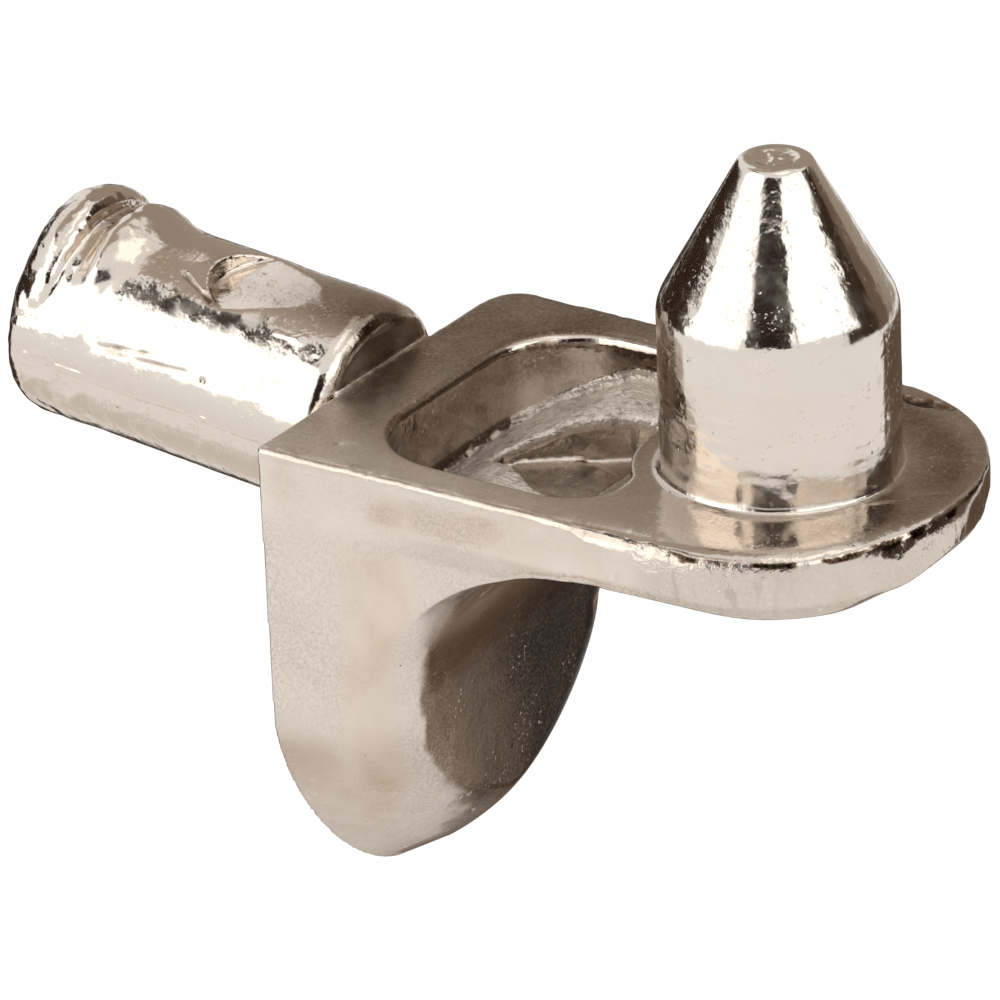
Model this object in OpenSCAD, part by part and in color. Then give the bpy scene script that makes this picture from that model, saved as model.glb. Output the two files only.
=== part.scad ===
// Shelf support: a one-piece plated casting.
// Millimetres. The origin is on the dowel's axis in the plane of the wall,
// +X runs out of the wall along the arm, +Z is up, and Y is the arm's width.

/* [Arm] */
// Height of the shelf seat above the origin
seat_z = 1.11; // [0.8:0.01:1.5]
// Thickness of the arm
arm_t = 1.52; // [1.2:0.02:2.4]
// Width of the arm at the wall
arm_w = 9.4; // [9.2:0.1:11]
// Length of the arm from the wall to its round end
arm_len = 13.98; // [13:0.02:16]
// Radius of the arm's round end
nose_r = 4.6; // [4.1:0.02:4.6]
// Radius of the arm's top edge
top_edge_r = 0.12; // [0.05:0.01:0.3]
// Radius of the arm's bottom edge
low_edge_r = 0.45; // [0.1:0.01:0.65]
// Radius of the far upright edge at the wall, where the gate was dressed off
gate_edge_r = 1.0; // [0.4:0.1:1.6]

/* [Leg] */
// Depth of the leg's point below the origin
leg_drop = 10.4; // [9:0.02:14]
// Depth below the origin at which the leg starts to narrow
leg_shoulder = 5.2; // [4.6:0.1:6]
// Thickness of the leg
leg_t = 3.0; // [2.4:0.02:3.6]
// Radius of the leg's front edges
leg_edge_r = 1.6; // [1:0.05:2.3]
// How much each side of the leg draws in down to the shoulder
leg_draft = 0.14; // [0:0.01:0.3]
// Height that the leg's front face loses to its back face at the point
leg_bevel = 2.5; // [1:0.1:3]
// Exponent of the leg's pointed end, where 2 is an ellipse
leg_point = 1.5; // [1.3:0.05:2]
// Radius of the cove between the leg and the arm
cove_r = 4.6; // [3.4:0.1:4.8]

/* [Dowel] */
// Diameter of the dowel's body
dowel_d = 4.72; // [4.4:0.02:6]
// Length of the dowel from the wall, along its axis
dowel_len = 8.3; // [7:0.05:12]
// Angle by which the dowel's free end rises
dowel_tilt = 5.6; // [0:0.1:6]
// Radius of the edge at the dowel's free end
dowel_nose_r = 0.45; // [0.2:0.05:0.6]
// Radius of the dowel's edge at the wall, above the arm
dowel_root_r = 0.45; // [0.3:0.05:0.9]
// Set-back of the dowel's shoulder from the wall, above the arm
dowel_set = 0.18; // [0.05:0.01:0.4]

/* [Barbs] */
// Height of the outer barb above the dowel's body
outer_barb_h = 0.48; // [0.3:0.01:0.55]
// Height of the inner barb above the dowel's body
inner_barb_h = 0.41; // [0.3:0.01:0.55]
// Rise of the barbs' own axis above the dowel's axis
barb_rise = 0.64; // [0.56:0.01:0.8]
// Distance between the middles of the two barbs
barb_pitch = 1.1; // [1:0.02:1.6]
// Radius of each barb's crest
barb_crest_r = 0.34; // [0.2:0.02:0.4]
// Radius of the outer barb's front, which ends at the dowel's free end
barb_nose_r = 0.75; // [0.6:0.05:0.9]
// Length of the inner barb's ramp towards the wall
barb_ramp = 1.0; // [0.8:0.05:1.6]
// Angle through which the outer barb's crest rounds down behind it
outer_barb_turn = 80; // [60:5:90]
// Angle through which the inner barb's crest rounds down to its ramp
inner_barb_turn = 30; // [15:5:45]

/* [Dimple] */
// Distance from the wall to the dimple's shallow end, along the dowel
dimple_at = 1.6; // [1.1:0.05:3]
// Length of the dimple along the dowel
dimple_len = 2.56; // [1.6:0.02:2.8]
// Width of the dimple across the dowel
dimple_w = 2.4; // [1.2:0.05:2.6]
// Angle from the top of the dowel round to the dimple's middle, on the near side
dimple_turn = 7; // [-20:1:20]
// Depth of the dimple's deep end below the top of the dowel
dimple_depth = 0.22; // [0.1:0.02:0.5]

/* [Stud] */
// Distance from the wall to the stud's axis
stud_x = 9.82; // [9.4:0.02:11]
// Diameter of the stud
stud_d = 5.0; // [4:0.1:6]
// Height of the stud's cylinder above the seat
stud_h = 3.69; // [2:0.01:6]
// Height of the cone on the stud
cone_h = 3.14; // [2:0.01:4]
// Diameter of the flat at the cone's tip
tip_d = 1.5; // [1.2:0.05:2]
// Radius of the edge around the tip
tip_edge_r = 0.2; // [0.05:0.01:0.3]
// Radius of the edge between the stud's cylinder and its cone
stud_edge_r = 1.0; // [0.3:0.1:1.8]
// Radius of the fillet at the stud's foot
stud_foot_r = 0.15; // [0.05:0.01:0.4]
// Diameter of the dish in the tip
dish_d = 0.88; // [0.4:0.02:0.9]
// Depth of the dish in the tip
dish_depth = 0.06; // [0.02:0.01:0.15]

/* [Pocket] */
// Width of the flat rim between the pocket and each side of the arm
rim_w = 1.1; // [0.8:0.02:1.6]
// Width of the flat rim between the pocket and the wall
wall_rim_w = 1.7; // [1.2:0.05:2.4]
// Width of the flat ring between the pocket and the stud
ring_w = 0.6; // [0.4:0.05:0.8]
// Distance from the stud's axis back to the pocket's front edge
pocket_front = 2.4; // [1.5:0.05:2.6]
// Radius of the pocket's rim edge
rim_edge_r = 0.25; // [0.05:0.05:0.4]
// Radius of the pocket's corners at the wall
pocket_back_r = 1.95; // [1:0.05:2.4]
// Radius of the pocket's corners beside the stud
pocket_front_r = 1.2; // [0.6:0.05:1.6]
// Depth of the pocket's floor below the seat
floor_depth = 1.86; // [1.5:0.02:2]
// Depth of the pocket's shelves below the seat, where they are level
shelf_depth = 0.84; // [0.5:0.02:0.95]
// Distance from the wall to the line where the shelves stop falling
shelf_end_x = 4.0; // [3.6:0.05:4.4]
// Slope of the shelves towards the wall, in degrees
shelf_slope = 25; // [10:1:32]
// Distance from the wall to the start of the well between the shelves
well_x = 2.8; // [2.4:0.05:3]
// Distance from the wall to the end of the well
well_end_x = 5.6; // [4.8:0.05:5.7]
// Distance from the wall to where the well is at its widest
well_flat_x = 5.0; // [4:0.05:5.4]
// Half width of the well at its start
well_start_w = 0.3; // [0.2:0.05:1]
// Half width of the well at its widest
well_end_w = 2.0; // [1.2:0.05:2.4]
// Radius of the ejector pad on the pocket's floor
pad_r = 1.25; // [0.8:0.05:1.3]
// Height of the ejector pad above the floor
pad_h = 0.1; // [0.04:0.02:0.2]
// Distance from the wall to the middle of the ejector pad
pad_x = 4.2; // [3.9:0.05:4.3]

/* [Hidden] */
$fn = 96;
reach = 40;
sheet = 0.01;
point_steps = 18;
round_steps = 8;
root_overlap = 0.6;
bevel_power = 1.2;
arc_steps = 6;
side_step = 0.02;
cove_step = 0.06;
cove_inset = 0.08;
rim_lift = 0.025;
barb_front_turn = 10;
plating_color = [0.76, 0.73, 0.69];

arm_low = seat_z - arm_t;
half_w = arm_w / 2;
nose_x = arm_len - nose_r;
side_turn = acos(nose_r / norm([nose_x, half_w])) - atan2(nose_x, half_w);
leg_top = arm_low + low_edge_r;
leg_round_x = leg_t - leg_edge_r;
cove_z = arm_low - cove_r;
dowel_r = dowel_d / 2;
stud_r = stud_d / 2;
cone_top = stud_h + cone_h;
cone_slope = atan((stud_r - tip_d / 2) / cone_h);
shoulder_z = stud_h - stud_edge_r * tan(cone_slope / 2);
tip_x = tip_d / 2 - tip_edge_r * (1 - sin(cone_slope)) / cos(cone_slope);
pocket_w = arm_w - 2 * rim_w;
pocket_len = stud_x - pocket_front - wall_rim_w;
pocket_h = 3;
rim_arc_z = rim_edge_r - rim_lift;

// Half width of the arm at distance x from the wall
function side_y(x) = half_w - x * tan(side_turn);

// What a rounded corner leaves of a square, with the arc's centre at the origin
module corner_waste(r)
    difference() {
        square(r + sheet);
        circle(r);
    }

// Section of the arm's edge: distance from the arm's middle against height
module edge_section()
    difference() {
        translate([0, arm_low]) square([nose_r, arm_t]);
        translate([nose_r - top_edge_r, seat_z - top_edge_r]) corner_waste(top_edge_r);
        translate([nose_r - low_edge_r, arm_low + low_edge_r])
            mirror([0, 1]) corner_waste(low_edge_r);
    }

// One straight side of the arm, tangent to the round end
module arm_side()
    translate([nose_x, 0, 0]) rotate(-side_turn)
        translate([-nose_x - half_w, 0, 0]) rotate([90, 0, 90])
            linear_extrude(nose_x + half_w) edge_section();

// The arm: two sides and a round end, with rounded edges and no pocket yet
module arm() {
    translate([nose_x, 0, 0]) rotate_extrude() edge_section();
    translate([0, -half_w / 2, arm_low]) cube([nose_x, half_w, arm_t]);
    intersection() {
        union() {
            arm_side();
            mirror([0, 1, 0]) arm_side();
        }
        translate([0, -half_w, -reach / 2]) cube([reach, arm_w, reach]);
    }
}

// How far the leg's point has risen at distance x from the wall
function bevel_rise(x) = leg_bevel * (1 - pow(1 - pow(x / leg_t, bevel_power), 1 / bevel_power));

// The leg seen from the front: drawn-in sides and a superelliptic point
function leg_outline(top_w, point_h) =
    let (low_w = top_w - leg_draft,
         half = [for (k = [0 : point_steps]) let (a = 90 * k / point_steps)
             [low_w * pow(cos(a), 2 / leg_point),
              -leg_shoulder - point_h * pow(sin(a), 2 / leg_point)]])
    concat([[-top_w, leg_top], [top_w, leg_top]], half,
           [for (k = [1 : point_steps]) [-half[point_steps - k][0], half[point_steps - k][1]]]);

module leg_slice(x, inset)
    translate([x, 0, 0]) rotate([90, 0, 90]) linear_extrude(sheet)
        polygon(leg_outline(side_y(x) - side_step - inset, leg_drop - leg_shoulder - bevel_rise(x)));

// The leg: flush with the arm's sides at the wall, rounded towards its front face
module leg()
    hull() {
        leg_slice(0, 0);
        for (step = [0 : round_steps]) {
            a = 90 * step / round_steps;
            leg_slice((leg_round_x - sheet) + leg_edge_r * sin(a), leg_edge_r * (1 - cos(a)));
        }
    }

// Section of the cove: distance from the axis of the leg's rounding against height
module cove_section()
    difference() {
        translate([0, cove_z]) square([leg_edge_r + cove_r, cove_r + low_edge_r]);
        translate([leg_edge_r + cove_r, cove_z]) circle(cove_r);
    }

// How far the sides of the leg and the cove have drawn in at height z
function draft_at(z) = leg_draft * (leg_top - z) / (leg_top + leg_shoulder);

// The room that the cove has between the sides of the arm and of the leg
module cove_room() {
    back_x = leg_round_x / 2;
    low_w = half_w - cove_step - draft_at(cove_z);
    intersection() {
        translate([0, 0, cove_z - sheet]) linear_extrude(leg_top - cove_z + 2 * sheet)
            polygon([
                [back_x, cove_step - side_y(back_x)], [nose_x, cove_step - side_y(nose_x)],
                [nose_x, side_y(nose_x) - cove_step], [back_x, side_y(back_x) - cove_step]]);
        rotate([90, 0, 90]) linear_extrude(nose_x)
            polygon([
                [-low_w, cove_z], [low_w, cove_z],
                [half_w - cove_step, leg_top], [cove_step - half_w, leg_top]]);
    }
}

// The cove that carries the arm on the leg
module cove() {
    axis_y = half_w - leg_edge_r - cove_inset;
    intersection() {
        union() {
            for (side = [-1, 1])
                translate([leg_round_x, side * axis_y, 0]) rotate_extrude() cove_section();
            translate([leg_round_x, axis_y, 0]) rotate([90, 0, 0])
                linear_extrude(2 * axis_y) cove_section();
        }
        cove_room();
    }
}

// Waste of the upright edge where the gate was dressed off
module gate_waste()
    translate([gate_edge_r, half_w - gate_edge_r, -reach / 2]) mirror([1, 0, 0])
        linear_extrude(reach) corner_waste(gate_edge_r);

// Places its children on the dowel's axis: their +Z runs from the wall to the free end
module on_dowel()
    rotate([0, -90 + dowel_tilt, 0]) children();

// Section of the dowel's body, rounded at both ends
module dowel_section()
    difference() {
        translate([0, dowel_set]) square([dowel_r, dowel_len - dowel_set]);
        translate([dowel_r - dowel_nose_r, dowel_len - dowel_nose_r]) corner_waste(dowel_nose_r);
        translate([dowel_r - dowel_root_r, dowel_set + dowel_root_r])
            mirror([0, 1]) corner_waste(dowel_root_r);
    }

// Points along an arc about centre c, from angle a0 to angle a1
function arc(c, r, a0, a1) =
    [for (k = [0 : arc_steps]) let (a = a0 + (a1 - a0) * k / arc_steps) c + r * [cos(a), sin(a)]];

// One barb: a ramp or a round back towards the wall, a crest and a round front
module barb(crest_at, back_turn, front_r, height, ramp) {
    crest_r = dowel_r - barb_rise + height;
    back_at = crest_at - ramp - barb_crest_r;
    rotate_extrude()
        polygon(concat(
            [[0, back_at], [crest_r - height - barb_crest_r / 2, back_at]],
            arc([crest_r - barb_crest_r, crest_at], barb_crest_r, -back_turn, 0),
            arc([crest_r - front_r, crest_at], front_r, barb_front_turn, 90),
            [[0, crest_at + front_r]]));
}

// The barbs stand on the dowel's upper side and fade out down its flanks
module barbs() {
    outer_at = dowel_len - sheet - barb_nose_r;
    translate([barb_rise, 0, 0]) {
        barb(outer_at, outer_barb_turn, barb_nose_r, outer_barb_h, 0);
        barb(outer_at - barb_pitch, inner_barb_turn, barb_crest_r, inner_barb_h, barb_ramp);
    }
}

// Waste of the dimple: it deepens towards the free end and ends in a round wall
module dimple_waste() {
    fall = atan(dimple_depth / (dimple_len - dimple_w / 2));
    rotate(-dimple_turn) translate([dowel_r, 0, dimple_at]) rotate([0, 90 - fall, 0])
        linear_extrude(dowel_r) {
            translate([dimple_w / 2 - dimple_len, 0]) circle(dimple_w / 2);
            translate([dimple_w / 2 - dimple_len, -dimple_w / 2]) square([dimple_len, dimple_w]);
        }
}

// The dowel, with its plain root let into the arm and the leg
module dowel() {
    on_dowel()
        difference() {
            union() {
                rotate_extrude() dowel_section();
                barbs();
            }
            dimple_waste();
        }
    intersection() {
        on_dowel() translate([0, 0, -root_overlap]) cylinder(h = root_overlap + 2 * dowel_root_r, r = dowel_r);
        translate([-reach / 2, -reach / 2, seat_z - dowel_root_r - reach]) cube(reach);
    }
}

// Section of the stud: a cylinder and a cone with rounded edges
module stud_section() {
    polygon([
        [0, -sheet], [stud_r, -sheet], [stud_r, shoulder_z],
        [stud_r - stud_edge_r * (1 - cos(cone_slope)), shoulder_z + stud_edge_r * sin(cone_slope)],
        [tip_x + tip_edge_r * cos(cone_slope), cone_top - tip_edge_r * (1 - sin(cone_slope))],
        [tip_x, cone_top], [0, cone_top]]);
    translate([stud_r - stud_edge_r, shoulder_z]) circle(stud_edge_r);
    translate([tip_x, cone_top - tip_edge_r]) circle(tip_edge_r);
    difference() {
        translate([0, -sheet]) square([stud_r + stud_foot_r, stud_foot_r + sheet]);
        translate([stud_r + stud_foot_r, stud_foot_r]) circle(stud_foot_r);
    }
}

// The stud: a turned form with a dish in its tip
module stud()
    translate([stud_x, 0, seat_z])
        difference() {
            rotate_extrude() stud_section();
            translate([0, 0, cone_top]) cylinder(h = 2 * dish_depth, d = dish_d, center = true);
        }

// Section of the pocket's wall and its rounded rim, with the wall at the given distance
module wall_section(from)
    difference() {
        translate([0, -pocket_h]) square([from + rim_edge_r, 2 * pocket_h]);
        translate([from, -pocket_h - sheet]) square([rim_edge_r + sheet, pocket_h - rim_arc_z]);
        translate([from + rim_edge_r, -rim_arc_z]) circle(rim_edge_r);
    }

// The pocket's plan and rim: a rounded rectangle, with its near corner at the origin.
// Each straight stretch starts at a corner and runs a little past its own middle
module pocket_prism() {
    mid = pocket_w / 2;
    half_side = (pocket_len - pocket_back_r - pocket_front_r) / 2 + sheet;
    for (y = [0, 1]) translate([0, y * pocket_w, 0]) mirror([0, y, 0]) {
        translate([pocket_back_r, pocket_back_r, 0]) rotate(180)
            rotate_extrude(angle = 90) wall_section(pocket_back_r);
        translate([pocket_len - pocket_front_r, pocket_front_r, 0]) rotate(270)
            rotate_extrude(angle = 90) wall_section(pocket_front_r);
        translate([pocket_back_r, mid, 0]) rotate([90, 0, 90])
            linear_extrude(half_side) mirror([1, 0]) wall_section(mid);
        translate([pocket_len - pocket_front_r, mid, 0]) rotate([90, 0, -90])
            linear_extrude(half_side) wall_section(mid);
        translate([mid, pocket_back_r, 0]) rotate([90, 0, 180])
            linear_extrude(mid - pocket_back_r + sheet) wall_section(mid);
        translate([pocket_len - mid, pocket_front_r, 0]) rotate([90, 0, 180])
            linear_extrude(mid - pocket_front_r + sheet) mirror([1, 0]) wall_section(mid);
    }
}

// Side view of the space over the shelves, which fall towards the wall
module shelf_section() {
    back_x = wall_rim_w - 2 * rim_edge_r;
    polygon([
        [back_x, pocket_h], [back_x, -shelf_depth - (shelf_end_x - back_x) * tan(shelf_slope)],
        [shelf_end_x, -shelf_depth], [stud_x, -shelf_depth], [stud_x, pocket_h]]);
}

// Plan of the well between the shelves
module well_plan()
    polygon([
        [well_x, -well_start_w], [well_flat_x, -well_end_w], [well_end_x, -well_end_w],
        [well_end_x, well_end_w], [well_flat_x, well_end_w], [well_x, well_start_w]]);

// Waste of the pocket: all that lies over its shelves, and the well between them
module pocket_waste()
    translate([0, 0, seat_z]) difference() {
        union() {
            intersection() {
                translate([wall_rim_w, -pocket_w / 2, 0]) pocket_prism();
                translate([0, half_w, 0]) rotate([90, 0, 0]) linear_extrude(arm_w) shelf_section();
            }
            translate([0, 0, -floor_depth]) linear_extrude(floor_depth) well_plan();
        }
        translate([stud_x, 0, -pocket_h]) cylinder(h = 2 * pocket_h, r = stud_r + ring_w);
        translate([pad_x, 0, -floor_depth - sheet]) cylinder(h = pad_h + sheet, r = pad_r);
    }

module shelf_support()
    color(plating_color)
        difference() {
            union() {
                arm();
                leg();
                cove();
                dowel();
                stud();
            }
            pocket_waste();
            gate_waste();
        }

shelf_support();
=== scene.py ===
"""A nickel-plated shelf support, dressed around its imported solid.

The casting is one piece: a barbed dowel, an arm with a cored pocket, a pointed leg and a stud.
Its solid is turned into one fine skin that carries the marks of casting and plating and stands
for the solid. Shapes are worked in millimetres and set in metres at the end.
A fade's limits are places in the part's frame, degrees for a turn or cosines for a normal.
"""

import logging
import math
from dataclasses import dataclass, field, fields
from enum import Enum

import bmesh
import bpy
import numpy as np
from mathutils import Matrix, Vector
from mathutils.kdtree import KDTree

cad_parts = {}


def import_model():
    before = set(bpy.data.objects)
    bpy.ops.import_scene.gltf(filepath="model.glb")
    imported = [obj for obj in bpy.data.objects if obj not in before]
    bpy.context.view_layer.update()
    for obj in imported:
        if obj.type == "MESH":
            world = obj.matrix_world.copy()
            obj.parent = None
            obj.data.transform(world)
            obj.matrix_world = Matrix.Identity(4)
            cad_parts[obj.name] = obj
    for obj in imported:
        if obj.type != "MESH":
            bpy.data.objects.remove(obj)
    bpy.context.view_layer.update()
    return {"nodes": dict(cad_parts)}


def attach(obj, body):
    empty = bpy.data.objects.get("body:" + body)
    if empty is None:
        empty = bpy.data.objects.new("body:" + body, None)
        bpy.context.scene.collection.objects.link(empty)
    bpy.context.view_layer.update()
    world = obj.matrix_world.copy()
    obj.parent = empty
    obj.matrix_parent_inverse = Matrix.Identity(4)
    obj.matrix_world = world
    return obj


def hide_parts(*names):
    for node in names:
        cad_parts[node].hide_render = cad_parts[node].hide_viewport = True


LOG = logging.getLogger("shelf_support")
MM = 0.001
NODE = "shelf_support"
HASH_AXES = (73856093, 19349663, 83492791)
HASH_SEED = 2654435761
HASH_MIX = 1274126177
LOW_32_BITS = 0xFFFFFFFF
LOW_24_BITS = 0xFFFFFF
WELD_GAP = 1e-3 * MM
HALF_WAY = 0.5
LEAST_SHARE = 0.002
WHITE = (1.0, 1.0, 1.0, 1.0)

Array = np.ndarray
Place = tuple[float, float, float]
Colour = tuple[float, float, float]
Object = bpy.types.Object
Material = bpy.types.Material
Socket = bpy.types.NodeSocket
Source = Socket | float | tuple


def rise(value: Array, low: float, high: float) -> Array:
    """Eases a value from 0 at its lower limit to 1 at its upper one."""
    t = np.clip((value - low) / (high - low), 0.0, 1.0)
    return t * t * (3.0 - 2.0 * t)


def fall(value: Array, low: float, high: float) -> Array:
    """Eases a value from 1 at its lower limit to 0 at its upper one."""
    return 1.0 - rise(value, low, high)


def band(value: Array, low: float, high: float, soft: float) -> Array:
    """Gives 1 between two limits and fades to 0 over a soft width outside them."""
    return rise(value, low - soft, low) * fall(value, high, high + soft)


class Noise(Enum):
    """Random fields on the skin: the size of their lumps along each axis, and their seed."""

    LUMPS = ((0.42, 0.42, 0.42), 11)
    GRIT = ((0.15, 0.15, 0.15), 12)
    BROAD = ((1.1, 1.1, 1.1), 21)
    MID = ((0.45, 0.45, 0.45), 22)
    FINE = ((0.2, 0.2, 0.2), 23)
    UPRIGHT = ((0.28, 0.28, 1.2), 24)
    STREAKS = ((0.8, 0.8, 0.16), 25)
    SEAM = ((1.2, 1.2, 1.2), 31)
    CLOUDS = ((1.3, 1.3, 1.3), 41)
    MOTTLE = ((0.35, 0.35, 0.35), 42)
    RAGGED = ((0.3, 0.3, 0.3), 43)
    DRAWN = ((2.0, 0.13, 0.9), 44)
    JAGS = ((0.28, 0.28, 0.28), 45)
    EDGE_DIM = ((0.5, 0.3, 0.3), 46)
    WANDER = ((0.35, 0.35, 0.35), 71)

    def at(self, points: Array) -> Array:
        """Reads the field, which is the same on every run.

        Args:
            points: Places to read it at, one row each.

        Returns:
            Values from -1 to 1, one for each place.
        """
        lumps, seed = self.value
        place = points / np.asarray(lumps)
        cell = np.floor(place).astype(np.int64)
        part = place - cell
        ease = part * part * (3.0 - 2.0 * part)
        total = np.zeros(len(points))
        for corner in range(8):
            step = np.array([corner & 1, (corner >> 1) & 1, corner >> 2])
            mixed = np.bitwise_xor.reduce((cell + step) * np.array(HASH_AXES), axis=1) ^ seed * HASH_SEED
            mixed = (mixed ^ (mixed >> 13)) * HASH_MIX & LOW_32_BITS
            mixed = (mixed ^ (mixed >> 16)) & LOW_24_BITS
            share = np.prod(np.where(step, ease, 1.0 - ease), axis=1)
            total += share * (mixed / float(LOW_24_BITS) * 2.0 - 1.0)
        return total


@dataclass(frozen=True)
class CastForm:
    """Sizes of the casting that its surface marks are set out from, in millimetres."""

    seat_z: float = 1.11
    arm_low: float = -0.39
    floor_z: float = -0.75
    ledge_z: float = 0.27
    ledge_end_x: float = 4.0
    ledge_slope: float = math.radians(25)
    pocket_x0: float = 1.7
    pocket_x1: float = 7.42
    pocket_half_w: float = 3.6
    well_half_w: float = 2.0
    stud_x: float = 9.82
    stud_r: float = 2.5
    ring_r: float = 3.1
    dowel_tilt: float = math.radians(5.6)

    def along_dowel(self, points: Array) -> tuple[Array, Array, Array]:
        """Gives each point's place on the dowel.

        Args:
            points: Points in the part's frame.

        Returns:
            Distance along the axis towards the free end, distance from the axis, and the angle in
            degrees from the dowel's top round to its near side.
        """
        axis = np.array([-math.cos(self.dowel_tilt), 0.0, math.sin(self.dowel_tilt)])
        up = np.array([math.sin(self.dowel_tilt), 0.0, math.cos(self.dowel_tilt)])
        along = points @ axis
        height = points @ up
        side = -points[:, 1]
        return along, np.hypot(height, side), np.degrees(np.arctan2(side, height))

    def from_stud(self, points: Array) -> Array:
        """Distance of each point from the stud's axis."""
        return np.hypot(points[:, 0] - self.stud_x, points[:, 1])

    def off_ledge(self, points: Array) -> Array:
        """Distance of each point above or below the level of the pocket's sloped ledge."""
        sunk = np.maximum(0.0, self.ledge_end_x - points[:, 0]) * math.tan(self.ledge_slope)
        return np.abs(points[:, 2] - (self.ledge_z - sunk))

    def in_pocket(self, points: Array, soft: float = 0.1) -> Array:
        """Mask of the points that lie inside the pocket's walls.

        Args:
            points: Points in the part's frame.
            soft: Width of the fade at the walls.

        Returns:
            The mask, from 0 to 1.
        """
        x, y, z = points.T
        inside = band(x, self.pocket_x0, self.pocket_x1, soft)
        inside *= band(y, -self.pocket_half_w, self.pocket_half_w, soft)
        inside *= fall(z, self.seat_z - 0.25, self.seat_z - 0.1)
        return inside * rise(z, self.floor_z - 0.6, self.floor_z - 0.3)


def read_rows(items: bpy.types.bpy_prop_collection, name: str) -> Array:
    """Reads a vector of each item of a mesh.

    Args:
        items: The items.
        name: Name of the vector.

    Returns:
        The vectors, one row each.
    """
    flat = np.empty(len(items) * 3, dtype=np.float32)
    items.foreach_get(name, flat)
    return flat.reshape(-1, 3).astype(np.float64)


@dataclass
class Skin:
    """The casting's fine skin while it is being worked, in millimetres."""

    piece: Object

    def points(self) -> Array:
        """The skin's points, one row each."""
        return read_rows(self.piece.data.vertices, "co")

    def normals(self) -> Array:
        """The skin's outward directions, one row for each point."""
        return read_rows(self.piece.data.vertex_normals, "vector")

    def place(self, points: Array) -> None:
        """Puts the skin's points at new places."""
        self.piece.data.vertices.foreach_set("co", points.astype(np.float32).ravel())
        self.piece.data.update()

    def move(self, offset: Array) -> None:
        """Moves each point outwards along its own normal."""
        self.place(self.points() + self.normals() * offset[:, None])

    def relax(self, share: Array, times: int) -> None:
        """Eases points towards the middle of their neighbours.

        Args:
            share: How far each point goes on each pass, from 0 to 1.
            times: Number of passes.
        """
        ends = np.empty(len(self.piece.data.edges) * 2, dtype=np.int32)
        self.piece.data.edges.foreach_get("vertices", ends)
        ends = ends.reshape(-1, 2)
        points = self.points()
        moving = share > LEAST_SHARE
        ends = ends[moving[ends].any(axis=1)]
        used, packed = np.unique(ends, return_inverse=True)
        left, right = packed.reshape(-1, 2).T
        total = len(used)
        links = np.bincount(left, minlength=total) + np.bincount(right, minlength=total)
        pull = np.where(moving[used], share[used], 0.0)[:, None]
        work = points[used]
        for _ in range(times):
            middle = np.empty_like(work)
            for axis in range(3):
                line = work[:, axis]
                middle[:, axis] = np.bincount(left, line[right], total)
                middle[:, axis] += np.bincount(right, line[left], total)
            work += pull * (middle / links[:, None] - work)
        points[used] = work
        self.place(points)


@dataclass(frozen=True)
class Line:
    """A straight scratch or ridge on the skin, in millimetres."""

    start: Place
    end: Place
    half_w: float
    height: float
    taper: float = 0.15
    end_height: float = 0.4
    core: float = 0.2
    wander: float = 0.6

    def raised(self, points: Array) -> Array:
        """Height of the line at each point.

        Args:
            points: Points of the skin.

        Returns:
            Distance outwards for each point.
        """
        start, end = np.array(self.start), np.array(self.end)
        along = end - start
        part = np.clip((points - start) @ along / (along @ along), 0.0, 1.0)
        gap = np.linalg.norm(points - start - part[:, None] * along, axis=1)
        gap += self.wander * self.half_w * Noise.WANDER.at(points)
        fade = rise(part, 0.0, self.taper) * fall(part, 1.0 - self.taper, 1.0)
        height = self.height * (self.end_height + (1.0 - self.end_height) * fade)
        return height * fall(gap, self.core * self.half_w, self.half_w)


@dataclass(frozen=True)
class Passes:
    """How often each part of the skin is eased towards its neighbours."""

    edges: int = 3
    shelf: int = 14
    cove_and_well: int = 14
    far_rim: int = 40
    nose: int = 170
    root: int = 130
    barbs: int = 60
    join: int = 70


@dataclass(frozen=True)
class Wave:
    """Heights of the waves on one part of the casting, in millimetres, for each kind of lump."""

    broad: float = 0.0
    mid: float = 0.0
    fine: float = 0.0
    upright: float = 0.0
    streaks: float = 0.0

    def height(self, lumps: dict[str, Array]) -> Array:
        """Height of the waves at each point, from the noise of each kind of lump."""
        return sum(height * lumps[kind] for kind, height in vars(self).items() if height)


@dataclass(frozen=True)
class Waves:
    """The waves of each part of the casting."""

    plain: Wave = Wave(0.003, 0.0012)
    dowel: Wave = Wave(0.010, 0.007, 0.0045)
    ribs: Wave = Wave(0.0, 0.02, 0.014)
    stud: Wave = Wave(0.006, 0.004, 0.0022)
    stud_low: Wave = Wave(streaks=0.012)
    stud_foot: Wave = Wave(0.0, 0.014, 0.007)
    nose: Wave = Wave(0.0, 0.016, 0.009, 0.014)
    joint: Wave = Wave(fine=0.02)
    edge: Wave = Wave(0.0, 0.012, 0.014)
    joint_height: float = 0.012


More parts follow.
